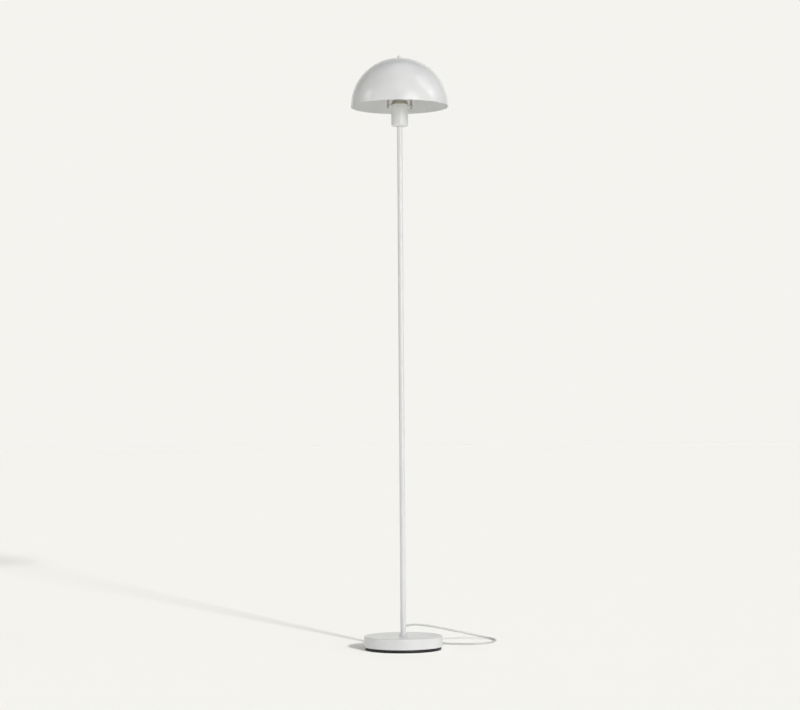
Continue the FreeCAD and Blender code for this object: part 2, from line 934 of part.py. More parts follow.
def switch_spring():
    """The square-wire coil spring round the post, pressing up on the button."""
    low = switch_wall + spring_wire / 2 + slip_clearance
    high = switch_height + button_above - button_crown - spring_wire / 2 - slip_clearance
    count = 2 * spring_turns
    heights = [(high - low) * n / count for n in range(count + 1)]
    start = point(spring_radius, 0, low)
    arcs = half_turns(start, point(1, 0, 0), point(0, 1, 0), [spring_radius] * (count + 1), heights)
    half = spring_wire / 2
    corners = [start + point(x * half, 0, z * half) for x, z in ((-1, -1), (1, -1), (1, 1), (-1, 1))]
    section = Part.makePolygon(corners + corners[:1])
    return at_switch(Part.Wire(arcs).makePipeShell([section], True, False))


def switch_screws():
    screws = []
    for place in switch_screw_places():
        head_start = place + up * switch_screw_recess
        head = Part.makeCylinder(switch_screw_head, switch_wall - switch_screw_recess, head_start)
        tip = place + up * (switch_height - switch_wall - switch_screw_margin)
        screws.append(head.fuse(rod(switch_screw_radius, place + up * switch_wall, tip)).removeSplitter())
    return at_switch(grouped(screws))


# Plug on the end of the coil


def plug_start():
    """Where the coil's free end meets the plug; the plug points along X from there."""
    end = coil_path()[-1]
    return end.valueAt(end.LastParameter)


def plug_outline(x, half_width):
    """A rounded section across the plug, standing at x and resting on the floor."""
    start = plug_start()
    corner = point(x, start.y - half_width, 0)
    block = Part.makeBox(1, 2 * half_width, plug_height, corner)
    edges = [edge for edge in block.Edges if abs(abs(edge.tangentAt(edge.FirstParameter).x) - 1) < 1e-6]
    rounded = block.makeFillet(plug_height * plug_rounding, edges)
    face = [f for f in rounded.Faces if abs(f.CenterOfMass.x - x) < 1e-6][0]
    return face.OuterWire


def plug_body():
    """A flat two-pin plug: a tapered neck, shoulders that widen and a straight front."""
    start = plug_start()
    shoulder = start.x + plug_neck_length
    widest = shoulder + plug_shoulder
    front = shoulder + plug_length
    neck = Part.makeCone(cord_diameter / 2 + plug_neck_lip, plug_neck_radius, plug_neck_length, start, point(1, 0, 0))
    shoulders = Part.makeLoft([
        plug_outline(shoulder, plug_height / 2),
        plug_outline(widest, plug_width / 2),
    ], True, True)
    block = Part.Face(plug_outline(widest, plug_width / 2)).extrude(point(front - widest, 0, 0))
    body = shoulders.fuse(block).fuse(neck)
    for pin in plug_pin_axes():
        body = body.cut(rod(plug_sleeve_radius, pin - point(plug_pin_seat, 0, 0), pin))
    return body.removeSplitter()


def plug_pin_axes():
    start = plug_start()
    front = start.x + plug_neck_length + plug_length
    return [point(front, start.y + side * plug_pin_spacing / 2, plug_height / 2) for side in (-1, 1)]


def plug_pins():
    """Two round pins, each with a slightly thinner insulated sleeve next to the plug."""
    pins = []
    for pin in plug_pin_axes():
        seat = pin - point(plug_pin_seat, 0, 0)
        sleeve_end = pin + point(plug_sleeve_length, 0, 0)
        tip = pin + point(plug_pin_length, 0, 0)
        bare = rod(plug_pin_radius, sleeve_end, tip)
        end = [edge for edge in bare.Edges if abs(edge.CenterOfMass.x - tip.x) < 1e-6]
        bare = bare.makeFillet(plug_pin_radius * pin_rounding, end)
        pins.append(bare.fuse(rod(plug_sleeve_radius, seat, sleeve_end)))
    return grouped(pins)


def main():
    os.makedirs("parts", exist_ok=True)
    pieces = {
        "floor_pad": floor_pad(),
        "bottom_cover": bottom_cover(),
        "cover_screws": cover_screws(),
        "base_weight": base_weight(),
        "base_shell": base_shell(),
        "base_washer": base_washer(),
        "base_bolt": base_bolt(),
        "pole_foot_bush": pole_foot_bush(),
        "pole_collar": pole_collar(),
        "lower_pole": pole_section(0),
        "middle_pole": pole_section(1),
        "upper_pole": pole_section(2),
        "pole_connectors": pole_connectors(),
        "pole_top_bush": pole_top_bush(),
        "cord_bush": cord_bush(),
        "conductors": conductors(),
        "holder_nipple": holder_nipple(),
        "holder_cup": holder_cup(),
        "cup_locknut": cup_locknut(),
        "lampholder_cap": lampholder_cap(),
        "lampholder_body": lampholder_body(),
        "contact_block": contact_block(),
        "screw_shell": screw_shell(),
        "centre_contact": centre_contact(),
        "holder_collar": holder_collar(),
        "locking_ring": locking_ring(),
        "pivot_washers": pivot_washers(),
        "pivot_screws": pivot_screws(),
        "yoke": yoke(),
        "shade": shade(),
        "shade_washer": shade_washer(),
        "finial": finial(),
        "finial_nut": finial_nut(),
        "bulb_cap": bulb_cap(),
        "bulb_globe": bulb_globe(),
        "cord": cord(),
        "cord_tail": cord_tail(),
        "cord_coil": cord_coil(),
        "switch_base": switch_base(),
        "switch_cover": switch_cover(),
        "switch_button": switch_button(),
        "switch_spring": switch_spring(),
        "switch_screws": switch_screws(),
        "plug_body": plug_body(),
        "plug_pins": plug_pins(),
    }
    for name, piece in pieces.items():
        piece.exportStep("parts/" + name + ".step")


main()
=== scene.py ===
import json
import math

import bpy
from mathutils import Matrix, Vector


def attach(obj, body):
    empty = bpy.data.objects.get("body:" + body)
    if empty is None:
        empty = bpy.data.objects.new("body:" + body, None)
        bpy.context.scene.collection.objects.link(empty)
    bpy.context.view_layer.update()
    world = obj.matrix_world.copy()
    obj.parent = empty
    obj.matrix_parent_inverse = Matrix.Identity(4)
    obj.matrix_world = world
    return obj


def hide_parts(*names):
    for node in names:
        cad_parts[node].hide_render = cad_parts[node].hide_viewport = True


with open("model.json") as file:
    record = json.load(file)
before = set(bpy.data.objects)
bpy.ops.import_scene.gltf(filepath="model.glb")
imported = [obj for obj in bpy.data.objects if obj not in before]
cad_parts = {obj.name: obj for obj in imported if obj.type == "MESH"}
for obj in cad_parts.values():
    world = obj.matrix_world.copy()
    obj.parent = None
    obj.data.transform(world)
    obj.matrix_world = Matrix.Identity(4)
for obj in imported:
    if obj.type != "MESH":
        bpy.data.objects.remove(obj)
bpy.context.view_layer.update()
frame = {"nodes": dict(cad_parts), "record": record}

nodes = frame["nodes"]
mm = 0.001


# the camera, fitted to the photo: metres, pixels of the picture, and degrees
cameraValues = {
    "place": (0.0, -5.3846, 0.5664),
    "focalPixels": 2108.7,
    "pictureWidth": 800,
    "pictureHeight": 710,
    "centreX": 401.36,
    "centreY": 356.78,
    "lookUp": 1.897,
    "lean": 0.402,
    "sensor": 36.0,
    "clip": (0.1, 300),
}


def makeCamera(values):
    data = bpy.data.cameras.new("camera")
    data.sensor_width = values["sensor"]
    data.lens = values["focalPixels"] / values["pictureWidth"] * values["sensor"]
    data.shift_x = (values["pictureWidth"] / 2 - values["centreX"]) / values["pictureWidth"]
    data.shift_y = (values["centreY"] - values["pictureHeight"] / 2) / values["pictureWidth"]
    data.clip_start, data.clip_end = values["clip"]
    camera = bpy.data.objects.new("camera", data)
    bpy.context.scene.collection.objects.link(camera)
    turn = Matrix.Rotation(math.radians(90 + values["lookUp"]), 4, "X")
    turn = turn @ Matrix.Rotation(math.radians(-values["lean"]), 4, "Z")
    camera.matrix_world = Matrix.Translation(values["place"]) @ turn
    bpy.context.scene.camera = camera


makeCamera(cameraValues)
print("camera ready")


def inMetres(lengths):
    return [length * mm for length in lengths]


def deselectAll():
    if bpy.context.object and bpy.context.object.mode != "OBJECT":
        bpy.ops.object.mode_set(mode="OBJECT")
    bpy.ops.object.select_all(action="DESELECT")


def linearColour(hexColour):
    # sRGB hex to the linear values that the shaders take
    parts = [int(hexColour[n:n + 2], 16) / 255 for n in (1, 3, 5)]
    linear = [part / 12.92 if part <= 0.04045 else ((part + 0.055) / 1.055) ** 2.4 for part in parts]
    return linear + [1.0]


def addNode(tree, kind, settings=None, links=None):
    # settings go to the socket of that name or number, or else to the node itself; links are socket: source
    node = tree.nodes.new(kind)
    for name, value in (settings or {}).items():
        if isinstance(name, int) or name in node.inputs:
            node.inputs[name].default_value = value
        else:
            setattr(node, name, value)
    for name, source in (links or {}).items():
        tree.links.new(source, node.inputs[name])
    return node


finishValues = {
    "toneEnds": (0.35, 0.65),  # where on the noise the two tones lie
    "reliefStrength": 1.0,
}


def makeFinish(name, values):
    # tone, gloss and grain are noises on Object coordinates: patch width in millimetres, then detail
    material = bpy.data.materials.new(name)
    material.use_nodes = True
    tree = material.node_tree
    shader = tree.nodes["Principled BSDF"]
    for socket, value in values["shader"].items():
        shader.inputs[socket].default_value = value
    place = addNode(tree, "ShaderNodeTexCoord").outputs["Object"]
    patterns = {}
    for use in ("tone", "gloss", "grain"):
        if use in values:
            width, detail = values[use]
            noise = {"Scale": 1000.0 / width, "Detail": detail}
            patterns[use] = addNode(tree, "ShaderNodeTexNoise", noise, {"Vector": place}).outputs["Fac"]
    # the colour drifts between two close tones
    ramp = addNode(tree, "ShaderNodeValToRGB", links={"Fac": patterns["tone"]})
    tones = zip(ramp.color_ramp.elements, finishValues["toneEnds"], values["colours"])
    for element, position, hexColour in tones:
        element.position = position
        element.color = linearColour(hexColour)
    colour = ramp.outputs["Color"]
    if "sleeve" in values:
        # the pins wear a moulded sleeve up to its end along X, and are bare metal beyond it
        along = addNode(tree, "ShaderNodeSeparateXYZ", links={"Vector": place}).outputs["X"]
        beyond = {"operation": "GREATER_THAN", 1: values["sleeveEnd"] * mm}
        bare = addNode(tree, "ShaderNodeMath", beyond, {0: along}).outputs[0]
        # of the mixing node's sockets, 0 is the factor, 6 and 7 are the colours, and 2 is what they give
        mixing = {"data_type": "RGBA", 6: linearColour(values["sleeve"])}
        colour = addNode(tree, "ShaderNodeMix", mixing, {0: bare, 7: colour}).outputs[2]
        tree.links.new(bare, shader.inputs["Metallic"])
        patterns["gloss"] = bare
    low, high = values["roughness"]
    gloss = addNode(tree, "ShaderNodeMapRange", {"To Min": low, "To Max": high}, {"Value": patterns["gloss"]})
    relief = {"Strength": finishValues["reliefStrength"], "Distance": values["depth"] * mm}
    bump = addNode(tree, "ShaderNodeBump", relief, {"Height": patterns["grain"]})
    tree.links.new(colour, shader.inputs["Base Color"])
    tree.links.new(gloss.outputs["Result"], shader.inputs["Roughness"])
    tree.links.new(bump.outputs["Normal"], shader.inputs["Normal"])
    return material


# sizes are millimetres; real grain is often finer, but none is drawn under 0.4, so that it shows close up

# white powder baked on spun steel: an even satin with faint orange peel, where lights are soft patches
whiteCoat = makeFinish("powderCoatWhite", {
    "shader": {"IOR": 1.5, "Specular IOR Level": 0.5},
    "colours": ("#E9EAEA", "#EDEEEE"), "tone": (60.0, 2.0),
    "gloss": (60 / 2, 2.0), "roughness": (0.20, 0.26), "grain": (2.2, 1.0), "depth": 0.02,
})
# satin nickel plate: a warm grey that takes its brightness from what is round it
satinNickel = makeFinish("satinNickelPlate", {
    "shader": {"Metallic": 1.0},
    "colours": ("#BDBBAC", "#C8C6B8"), "tone": (14.0, 2.0),
    "gloss": (14 / 3, 4.0), "roughness": (0.38, 0.50), "grain": (0.5, 3.0), "depth": 0.01,
})
# zinc plate on pressed and cut steel: bluish and slightly cloudy
zincPlate = makeFinish("zincPlatedSteel", {
    "shader": {"Metallic": 1.0},
    "colours": ("#B9BBBC", "#C6C8C8"), "tone": (6.0, 2.0),
    "gloss": (6 / 3, 4.0), "roughness": (0.30, 0.45), "grain": (0.4, 3.0), "depth": 0.01,
})
# drawn and turned brass: yellow, a little dulled by the air
brassPlain = makeFinish("turnedBrass", {
    "shader": {"Metallic": 1.0},
    "colours": ("#B8985A", "#C6A768"), "tone": (8.0, 2.0),
    "gloss": (8 / 3, 4.0), "roughness": (0.25, 0.4), "grain": (0.4, 3.0), "depth": 0.01,
})
# bright nickel plate on the bulb's cap: nearly a mirror
nickelPlate = makeFinish("brightNickelPlate", {
    "shader": {"Metallic": 1.0},
    "colours": ("#C9C6BE", "#D5D3CC"), "tone": (8.0, 2.0),
    "gloss": (8 / 3, 4.0), "roughness": (0.14, 0.24), "grain": (0.6, 3.0), "depth": 0.006,
})
# bright nickel plate on the plug's pins, with a dull black sleeve next to the plug's face
pinPlate = makeFinish("sleevedNickelPins", {
    "shader": {},
    "colours": ("#C9C6BE", "#D5D3CC"), "tone": (5.0, 2.0), "sleeve": "#1B1C1D", "sleeveEnd": 28.0,
    "roughness": (0.45, 0.2), "grain": (0.5, 3.0), "depth": 0.006,
})
# sand-cast iron: dark and dull, with the sand's coarse pits
castIron = makeFinish("castIron", {
    "shader": {"Metallic": 1.0},
    "colours": ("#3A3B3C", "#4A4B4C"), "tone": (9.0, 2.0),
    "gloss": (9 / 3, 4.0), "roughness": (0.55, 0.75), "grain": (1.2, 3.0), "depth": 0.25,
})
# polypropylene from a spark-eroded mould: black with a soft, broken sheen
blackPlastic = makeFinish("mouldedBlackPlastic", {
    "shader": {"IOR": 1.5},
    "colours": ("#17181A", "#1C1D1E"), "tone": (30.0, 2.0),
    "gloss": (30.0, 4.0), "roughness": (0.45, 0.6), "grain": (0.5, 2.0), "depth": 0.03,
})
# ABS from a fine mould: a slightly warm white, duller than the powder
whitePlastic = makeFinish("mouldedWhitePlastic", {
    "shader": {"IOR": 1.5},
    "colours": ("#E4E4E0", "#E9E9E5"), "tone": (25.0, 2.0),
    "gloss": (25.0, 4.0), "roughness": (0.38, 0.5), "grain": (0.5, 2.0), "depth": 0.02,
})
# soft vinyl extruded over the cord: a pale grey white with a waxy shine
cordSheath = makeFinish("vinylSheath", {
    "shader": {"IOR": 1.5},
    "colours": ("#D6D7D6", "#DEDFDE"), "tone": (40.0, 2.0),
    "gloss": (40.0, 4.0), "roughness": (0.35, 0.48), "grain": (0.8, 2.0), "depth": 0.03,
})
# brown vinyl extruded over the single wires: smooth, with the same waxy shine
wireSheath = makeFinish("wireInsulation", {
    "shader": {"IOR": 1.5},
    "colours": ("#5A3A28", "#64412D"), "tone": (20.0, 2.0),
    "gloss": (20.0, 4.0), "roughness": (0.35, 0.45), "grain": (0.5, 2.0), "depth": 0.01,
})
# fired ceramic under glaze: creamy and wet-looking, a little wavy
glazedCeramic = makeFinish("glazedCeramic", {
    "shader": {"IOR": 1.55},
    "colours": ("#E6E3DA", "#EEEBE3"), "tone": (8.0, 2.0),
    "gloss": (8.0, 4.0), "roughness": (0.1, 0.2), "grain": (2.0, 2.0), "depth": 0.02,
})
# blown opal glass: milky, with a glossy skin
opalGlass = makeFinish("opalGlass", {
    "shader": {"IOR": 1.52},
    "colours": ("#F0EEE6", "#F4F2EA"), "tone": (20.0, 2.0),
    "gloss": (20.0, 4.0), "roughness": (0.08, 0.14), "grain": (8.0, 2.0), "depth": 0.01,
})
# closed-cell foam cut from sheet: matt black, pitted by its cut cells
foamPad = makeFinish("closedCellFoam", {
    "shader": {"IOR": 1.5},
    "colours": ("#121213", "#191A1A"), "tone": (5.0, 2.0),
    "gloss": (5.0, 4.0), "roughness": (0.8, 0.95), "grain": (0.7, 2.0), "depth": 0.15,
})
# woven hook tape: matt, with a coarse fuzzy face
hookTape = makeFinish("wovenHookTape", {
    "shader": {"IOR": 1.5},
    "colours": ("#1B1C1E", "#25272A"), "tone": (3.0, 2.0),
    "gloss": (3.0, 4.0), "roughness": (0.75, 0.95), "grain": (0.9, 2.0), "depth": 0.35,
})

slotMaterials = {
    "white_steel": whiteCoat, "cast_weight": castIron, "zinc_steel": zincPlate, "brass": brassPlain,
    "black_plastic": blackPlastic, "black_foam": foamPad, "white_plastic": whitePlastic,
    "holder_metal": satinNickel, "ceramic": glazedCeramic, "cord_white": cordSheath,
    "wire_sheath": wireSheath, "opal_glass": opalGlass, "cap_metal": nickelPlate, "pin_metal": pinPlate,
}
for part in frame["record"]["subparts"]:
    node = nodes[part["node"]]
    node.data.materials.clear()
    node.data.materials.append(slotMaterials[part["material_slot"]])
print("finishes ready")


modelValues = {
    "sides": 40,
    "mergeWithin": 0.00001,  # metres
    "bevelFrom": 35,  # degrees
    "smoothUpTo": 32,  # degrees
}


def openForEdit(piece):
    bpy.context.view_layer.objects.active = piece
    bpy.ops.object.mode_set(mode="EDIT")


def closeEdit():
    bpy.ops.object.mode_set(mode="OBJECT")


def pickFaces(piece, isWanted):
    # leaves edit mode open with just the wanted faces selected
    openForEdit(piece)
    bpy.ops.mesh.select_mode(type="FACE")
    bpy.ops.mesh.select_all(action="DESELECT")
    closeEdit()
    for face in piece.data.polygons:
        face.select = isWanted(face)
    openForEdit(piece)


def applyModifier(piece, kind, settings):
    modifier = piece.modifiers.new(kind.lower(), kind)
    for name, value in settings.items():
        setattr(modifier, name, value)
    bpy.context.view_layer.objects.active = piece
    bpy.ops.object.modifier_apply(modifier=modifier.name)


def softenEdges(piece, width, segments=2):
    # width is in millimetres; edges that turn by less than bevelFrom degrees stay as they are
    applyModifier(piece, "BEVEL", {
        "width": width * mm, "segments": segments,
        "limit_method": "ANGLE", "angle_limit": math.radians(modelValues["bevelFrom"]),
    })


def addBlock(name, middle, size):
    deselectAll()
    bpy.ops.mesh.primitive_cube_add(size=1, location=inMetres(middle), scale=inMetres(size))
    block = bpy.context.object
    block.name = name
    block.data.name = name
    return block


def settle(piece, finish):
    # puts the place in the mesh, smooths it and gives it its finish; all pieces made here stay with the pole
    deselectAll()
    piece.select_set(True)
    bpy.context.view_layer.objects.active = piece
    bpy.ops.object.transform_apply(location=True, rotation=True, scale=True)
    bpy.ops.object.shade_smooth_by_angle(angle=math.radians(modelValues["smoothUpTo"]))
    piece.data.materials.clear()
    piece.data.materials.append(finish)
    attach(piece, "root")
    return piece


def turnOnLathe(name, profile):
    # (radius, height) pairs in millimetres, from the foot up; a last radius of 0 closes the top
    deselectAll()
    bpy.ops.mesh.primitive_circle_add(
        vertices=modelValues["sides"], radius=profile[0][0] * mm, fill_type="NGON",
    )
    piece = bpy.context.object
    piece.name = name
    piece.data.name = name
    openForEdit(piece)
    bpy.ops.mesh.select_mode(type="EDGE")
    bpy.ops.mesh.select_all(action="SELECT")
    bpy.ops.transform.translate(value=(0, 0, profile[0][1] * mm))
    for before, after in zip(profile, profile[1:]):
        lift = (after[1] - before[1]) * mm
        bpy.ops.mesh.extrude_region_move(TRANSFORM_OT_translate={"value": (0, 0, lift)})
        widen = after[0] / before[0]
        bpy.ops.transform.resize(value=(widen, widen, 1))
    bpy.ops.mesh.select_all(action="SELECT")
    bpy.ops.mesh.remove_doubles(threshold=modelValues["mergeWithin"])
    bpy.ops.mesh.normals_make_consistent(inside=False)
    closeEdit()
    return piece


def spotRound(azimuth, radius, height):
    # a spot at some distance from the pole's axis; azimuth is in degrees from X
    angle = math.radians(azimuth)
    return (radius * math.cos(angle), radius * math.sin(angle), height)


def placeAlong(piece, start, direction):
    # stands what was turned about Z on a point, facing a direction
    piece.rotation_mode = "QUATERNION"
    piece.rotation_quaternion = Vector(direction).to_track_quat("Z", "Y")
    piece.location = inMetres(start)


def ribbedSleeve(name, values):
    # a moulded sleeve that keeps the cord from kinking: a head, then rings that get smaller
    profile = list(values["head"])
    height = profile[-1][1]
    steps = values["ribs"]
    for number in range(steps):
        share = number / (steps - 1)
        rib = values["ribRadius"] + (values["tipRadius"] - values["ribRadius"]) * share
        core = rib - values["ribDepth"]
        foot = height + values["gap"]
        top = foot + values["rib"]
        profile += [(core, height), (core, foot), (rib, foot), (rib, top)]
        height = top
    end = height + values["end"]
    profile += [(values["endRadius"], height), (values["endRadius"], end), (0, end)]
    piece = turnOnLathe(name, profile)
    softenEdges(piece, values["softness"])
    return piece


def cutSlot(piece, size, middle):
    # sinks a plain slot, as a driver's blade needs
    cutter = addBlock("slotCutter", middle, size)
    applyModifier(piece, "BOOLEAN", {"object": cutter, "operation": "DIFFERENCE", "solver": "EXACT"})
    bpy.data.objects.remove(cutter)


def joinPieces(pieces):
    deselectAll()
    for piece in pieces:
        piece.select_set(True)
    bpy.context.view_layer.objects.active = pieces[0]
    bpy.ops.object.transform_apply(location=True, rotation=True, scale=True)
    bpy.ops.object.join()
    return pieces[0]


# strain relief on the pole's side
reliefValues = {
    "azimuth": 50.0,
    "start": 5.0,
    "height": 60.0,
    "shape": {
        "head": [(3.2, 0.0), (3.2, 2.05), (4.0, 2.05), (4.0, 3.65)],
        "ribs": 8, "rib": 1.4, "gap": 0.8, "ribRadius": 3.75, "tipRadius": 3.15, "ribDepth": 0.5,
        "end": 1.15, "endRadius": 2.85, "softness": 0.22,
    },
}


def makeStrainRelief(values):
    piece = ribbedSleeve("strainRelief", values["shape"])
    start = spotRound(values["azimuth"], values["start"], values["height"])
    placeAlong(piece, start, spotRound(values["azimuth"], 1, 0))
    settle(piece, whitePlastic)
    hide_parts("cord_bush")
    return piece


strainRelief = makeStrainRelief(reliefValues)


# sleeves on the switch and the plug, moulded on the cord
sleeveValues = {
    "switchSleeveIn": {
        "start": (64.6, 128.8, 6.3), "facing": (0.9756, -0.2195, 0),
        "shape": {
            "head": [(4.3, 0.0), (4.3, 3.4)],
            "ribs": 4, "rib": 1.3, "gap": 0.7, "ribRadius": 3.9, "tipRadius": 3.3, "ribDepth": 0.5,
            "end": 0.5, "endRadius": 2.8, "softness": 0.2,
        },
    },
    "switchSleeveOut": {
        "start": (-0.9, 143.6, 6.3), "facing": (-0.9756, 0.2195, 0),
        "shape": {
            "head": [(4.3, 0.0), (4.3, 3.4)],
            "ribs": 3, "rib": 1.3, "gap": 0.7, "ribRadius": 3.9, "tipRadius": 3.4, "ribDepth": 0.5,
            "end": 0.4, "endRadius": 2.8, "softness": 0.2,
        },
    },
    "plugSleeve": {
        "start": (-15.2, 223.5, 8.0), "facing": (-1, 0, 0),
        "shape": {
            "head": [(4.9, 0.0), (4.9, 2.4)],
            "ribs": 6, "rib": 1.5, "gap": 0.8, "ribRadius": 4.5, "tipRadius": 3.7, "ribDepth": 0.6,
            "end": 0.6, "endRadius": 3.1, "softness": 0.25,
        },
    },
}


def makeCordSleeve(name, values):
    piece = ribbedSleeve(name, values["shape"])
    placeAlong(piece, values["start"], values["facing"])
    return settle(piece, whitePlastic)


cordSleeves = [makeCordSleeve(name, values) for name, values in sleeveValues.items()]


# strap round the coil's turns
tieValues = {
    "middle": (-82.4, 186.0, 5.9),
    "size": (26.8, 10.0, 11.6),
    "corner": 3.6,
    "cornerSteps": 8,
    "strap": 0.9,
    "softness": 0.25,
    "tab": (8.0, 9.4, 1.6),
    "tabShift": 1.0,
    "tabSink": 0.6,
    "tabSoftness": 0.5,
    "tabSteps": 4,
}


def makeCoilTie(values):
    tie = addBlock("coilTie", values["middle"], values["size"])
    bpy.ops.object.transform_apply(location=False, rotation=False, scale=True)
    # the turns pass through both open ends, so these faces go, and the four edges between them are rounded
    pickFaces(tie, lambda face: abs(face.normal.y) > 0.9)
    bpy.ops.mesh.delete(type="FACE")
    bpy.ops.mesh.select_mode(type="EDGE")
    bpy.ops.mesh.select_all(action="DESELECT")
    closeEdit()
    for edge in tie.data.edges:
        first, second = [tie.data.vertices[number].co for number in edge.vertices]
        edge.select = abs(first.y - second.y) > mm
    openForEdit(tie)
    bpy.ops.mesh.bevel(offset=values["corner"] * mm, segments=values["cornerSteps"])
    closeEdit()
    applyModifier(tie, "SOLIDIFY", {"thickness": values["strap"] * mm, "offset": -1})
    softenEdges(tie, values["softness"])
    # the strap's loose end, folded back on itself on top
    x, y, z = values["middle"]
    top = z + values["size"][2] / 2
    tabMiddle = (x + values["tabShift"], y, top + values["tab"][2] / 2 - values["tabSink"])
    tab = addBlock("tieTab", tabMiddle, values["tab"])
    bpy.ops.object.transform_apply(location=False, rotation=False, scale=True)
    softenEdges(tab, values["tabSoftness"], values["tabSteps"])
    return settle(joinPieces([tie, tab]), hookTape)


coilTie = makeCoilTie(tieValues)


# slotted screws that the yoke turns on
pivotValues = {
    "azimuth": 17.0,
    "tip": 22.65,
    "height": 1387.75,
    "profile": [
        (1.6, 0.0), (2.0, 0.4), (2.0, 9.1), (3.8, 9.1), (3.8, 10.3),
        (3.5, 10.9), (2.7, 11.3), (1.5, 11.5), (0, 11.5),
    ],
    "softness": 0.12,
    "slot": (1.0, 9.0, 1.8),
    "slotHeight": 11.6,
    "slotTurns": (25.0, 70.0),
}


def makePivotScrews(values):
    screws = []
    for side, slotTurn in zip((0, 180), values["slotTurns"]):
        screw = turnOnLathe("pivotScrews", values["profile"])
        softenEdges(screw, values["softness"])
        cutSlot(screw, values["slot"], (0, 0, values["slotHeight"]))
        screw.rotation_euler = (0, 0, math.radians(slotTurn))
        deselectAll()
        screw.select_set(True)
        bpy.context.view_layer.objects.active = screw
        bpy.ops.object.transform_apply(location=True, rotation=True, scale=True)
        azimuth = values["azimuth"] + side
        placeAlong(screw, spotRound(azimuth, values["tip"], values["height"]), spotRound(azimuth, 1, 0))
        screws.append(screw)
    screws = settle(joinPieces(screws), satinNickel)
    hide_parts("pivot_screws")


makePivotScrews(pivotValues)


# grip ribs round the locking ring
gripValues = {
    "count": 40,
    "radius": 21.2,
    "bottom": 1391.7,
    "rib": (0.9, 1.5, 2.2),
    "softness": 0.3,
}


def makeGripRibs(values):
    height = values["bottom"] + values["rib"][2] / 2
    ribs = addBlock("ringGripRibs", (values["radius"], 0, height), values["rib"])
    bpy.ops.object.transform_apply(location=True, rotation=True, scale=True)
    softenEdges(ribs, values["softness"])
    openForEdit(ribs)
    bpy.ops.mesh.select_all(action="SELECT")
    steps = values["count"] - 1
    turned = math.radians(360) * steps / values["count"]
    bpy.ops.mesh.spin(steps=steps, dupli=True, angle=turned, center=(0, 0, height * mm), axis=(0, 0, 1))
    closeEdit()
    settle(ribs, satinNickel)


makeGripRibs(gripValues)
print("small pieces ready")


# the cord's route from the pole's side to the plug, in millimetres
cordValues = {
    "radius": 2.5,
    "exit": (17.355, 20.683, 60.0),
    "route": [
        (27.6, 33, 60), (47, 58.5, 56.2), (72, 94, 49.7), (97, 134.5, 40.8), (126, 180, 30.7),
        (159, 225, 19.6), (181, 249, 12.4), (197.7, 255.7, 8.1), (215.5, 253.2, 4.8), (229.7, 242.1, 3),
        (238.5, 224.1, 2.5), (243.7, 194.6, 2.5), (241, 166, 2.5), (233, 140.5, 2.5), (220.5, 118.5, 2.5),
        (203.5, 104, 2.5), (182, 97.5, 2.5), (159, 98, 2.5), (134, 103.5, 2.5), (108, 114, 2.5),
        (86, 124, 6.2), (66, 128.5, 6.2), (-2.3, 143.9, 6.2), (-12.1, 146.1, 6.2), (-24, 147.6, 4.5),
        (-36, 148.5, 2.5), (-48, 148.5, 2.5),
    ],
    "coilMiddleX": -54.0,
    "coilStartY": 148.5,
    "coilInner": 20.0,
    "coilTurns": 3,
    "coilPitch": 5.5,
    "coilStep": 1.0,
    "pointsPerHalfTurn": 10,
    "plugStart": (-34.0, 223.5, 8.0),
    "plugLead": 11.0,
    "length": 1.94,
    "resolution": 6,
    "roundness": 5,
}


def coilPoints(values):
    # spirals in on the floor, climbs one layer in the half turn where it reverses, and spirals out on top
    pitch = values["coilPitch"]
    outer = values["coilInner"] + values["coilStep"] + values["coilTurns"] * pitch
    inward = [outer - pitch * n / 2 for n in range(2 * values["coilTurns"])]
    reaches = inward + [values["coilInner"]] * 2 + inward[::-1]
    layer = 2 * values["coilTurns"]
    middleY = values["coilStartY"] + outer
    count = values["pointsPerHalfTurn"]
    stretch = 1 / math.cos(math.pi / count / 2)
    points = []
    for turn in range(len(reaches) - 1):
        side = -1 if turn % 2 == 0 else 1
        start = middleY + side * reaches[turn]
        end = middleY - side * reaches[turn + 1]
        radius = abs(end - start) / 2 * stretch
        low = values["radius"] + (pitch if turn > layer else 0)
        high = values["radius"] + (pitch if turn >= layer else 0)
        for step in range(count):
            share = (step + 0.5) / count
            angle = math.pi * share
            x = values["coilMiddleX"] + side * radius * math.sin(angle)
            y = (start + end) / 2 + side * radius * math.cos(angle)
            points.append((x, y, low + (high - low) * share))
    return points


def makeCord(values):
    end = values["plugStart"]
    points = [values["exit"]] + values["route"] + coilPoints(values)
    points += [(end[0] - values["plugLead"], end[1], end[2]), end]
    curve = bpy.data.curves.new("mainsCord", "CURVE")
    curve.dimensions = "3D"
    spline = curve.splines.new("NURBS")
    spline.points.add(len(points) - 1)
    for place, control in zip(points, spline.points):
        control.co = inMetres(place) + [1.0]
    spline.order_u = 3
    spline.use_endpoint_u = True
    spline.resolution_u = values["resolution"]
    curve.bevel_depth = values["radius"] * mm
    curve.bevel_resolution = values["roundness"]
    curve.use_fill_caps = True
    curve.materials.append(cordSheath)
    cord = bpy.data.objects.new("mainsCord", curve)
    bpy.context.scene.collection.objects.link(cord)
    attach(cord, "root")
    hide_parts("cord", "cord_tail", "cord_coil")
    return cord


mainsCord = makeCord(cordValues)
onCord = [nodes[name] for name in (
    "switch_base", "switch_cover", "switch_button", "switch_screws", "plug_body", "plug_pins",
)]
onCord += [strainRelief, coilTie] + cordSleeves
print("cord laid")


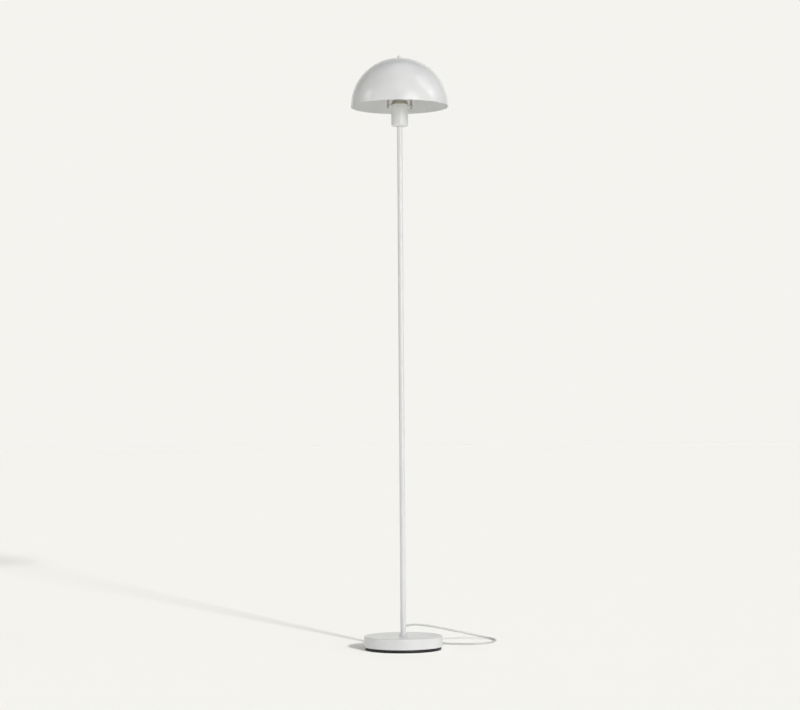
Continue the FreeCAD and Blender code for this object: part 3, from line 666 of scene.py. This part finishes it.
# floor and lights; a sun's direction is where it shines from, its angle how wide it is in degrees
studioValues = {
    "backdrop": "#F4F3EF",
    "floorAlbedo": 0.6,
    "floorGlow": 0.03,
    "floorSeen": 0.208,
    "floorSize": 120.0,
    "floorRoughness": 0.9,
    "backdropFrom": (0, 0.994, 0.11),
    "backdropEdge": (0.78, 0.86),
    "ambient": 0.1,
    "backdropGlow": 1.0,
    "suns": {
        "keyRight": {"from": (0.909, -0.075, 0.406), "strength": 0.36, "angle": 16},
        "edgeLeft": {"from": (-0.9, -0.12, 0.36), "strength": 0.27, "angle": 16},
        "frontLeft": {"from": (-0.66, -0.66, 0.35), "strength": 0.25, "angle": 40},
        "above": {"from": (0.05, 0.0, 1.0), "strength": 0.23, "angle": 40},
        "aboveFront": {"from": (0.1, -0.7, 0.7), "strength": 0.27, "angle": 40},
        "acrossFloor": {
            "from": (0.409, -0.857, 0.313), "strength": 7.5, "angle": 4.6, "floorOnly": True,
        },
        "behind": {"from": (0.0, 0.97, 0.2), "strength": 0.5, "angle": 40, "mirrored": False},
        "aboveRight": {"from": (0.66, -0.2, 0.72), "strength": 0.36, "angle": 26},
        "lowRight": {"from": (0.5, -0.86, 0.1), "strength": 1.42, "angle": 40},
        "frontRight": {"from": (0.42, -0.9, 0.28), "strength": 0.16, "angle": 26},
    },
}


def makeFloor(values):
    # the eye sees the floor as pale as the backdrop, so that no horizon shows
    bpy.ops.mesh.primitive_plane_add(size=values["floorSize"], location=(0, 0, 0))
    floor = bpy.context.object
    floor.name = "floor"
    material = bpy.data.materials.new("paleFloor")
    material.use_nodes = True
    tree = material.node_tree
    shader = tree.nodes["Principled BSDF"]
    pale = linearColour(values["backdrop"])
    shader.inputs["Base Color"].default_value = [part * values["floorAlbedo"] for part in pale[:3]] + [1.0]
    shader.inputs["Emission Color"].default_value = pale
    seen = addNode(tree, "ShaderNodeLightPath").outputs["Is Camera Ray"]
    reach = {"To Min": values["floorGlow"], "To Max": values["floorSeen"]}
    glow = addNode(tree, "ShaderNodeMapRange", reach, {"Value": seen})
    tree.links.new(glow.outputs["Result"], shader.inputs["Emission Strength"])
    shader.inputs["Roughness"].default_value = values["floorRoughness"]
    shader.inputs["Specular IOR Level"].default_value = 0.0
    floor.data.materials.append(material)


def makeLights(values):
    for name, sun in values["suns"].items():
        data = bpy.data.lights.new(name, "SUN")
        data.energy = sun["strength"]
        data.angle = math.radians(sun["angle"])
        light = bpy.data.objects.new(name, data)
        bpy.context.scene.collection.objects.link(light)
        light.rotation_mode = "QUATERNION"
        light.rotation_quaternion = Vector(sun["from"]).to_track_quat("Z", "Y")
        light.visible_glossy = sun.get("mirrored", True)
        if sun.get("floorOnly"):
            # this one only draws the lamp's shadow on the floor
            lit = bpy.data.collections.new("litFloor")
            lit.objects.link(bpy.data.objects["floor"])
            light.light_linking.receiver_collection = lit


def makeWorld(values):
    # the eye sees one pale backdrop all round; the lamp is lit by its bright part behind and a dim room
    world = bpy.data.worlds.new("studio")
    bpy.context.scene.world = world
    world.use_nodes = True
    tree = world.node_tree
    facing = addNode(tree, "ShaderNodeTexCoord").outputs["Generated"]
    compare = {"operation": "DOT_PRODUCT", 1: values["backdropFrom"]}
    turned = addNode(tree, "ShaderNodeVectorMath", compare, {0: facing})
    low, high = values["backdropEdge"]
    reach = {"From Min": low, "From Max": high, "To Min": values["ambient"], "To Max": values["backdropGlow"]}
    glow = addNode(tree, "ShaderNodeMapRange", reach, {"Value": turned.outputs["Value"]})
    room = tree.nodes["Background"]
    room.inputs["Color"].default_value = linearColour(values["backdrop"])
    tree.links.new(glow.outputs["Result"], room.inputs["Strength"])
    seen = addNode(tree, "ShaderNodeBackground", {"Color": linearColour(values["backdrop"])})
    path = addNode(tree, "ShaderNodeLightPath")
    chosen = addNode(tree, "ShaderNodeMixShader", links={"Fac": path.outputs["Is Camera Ray"]})
    tree.links.new(room.outputs[0], chosen.inputs[1])
    tree.links.new(seen.outputs[0], chosen.inputs[2])
    tree.links.new(chosen.outputs[0], tree.nodes["World Output"].inputs["Surface"])


deselectAll()
makeFloor(studioValues)
makeLights(studioValues)
makeWorld(studioValues)
bpy.context.scene.view_settings.view_transform = "Standard"
bpy.context.scene.view_settings.look = "None"
print("studio ready")
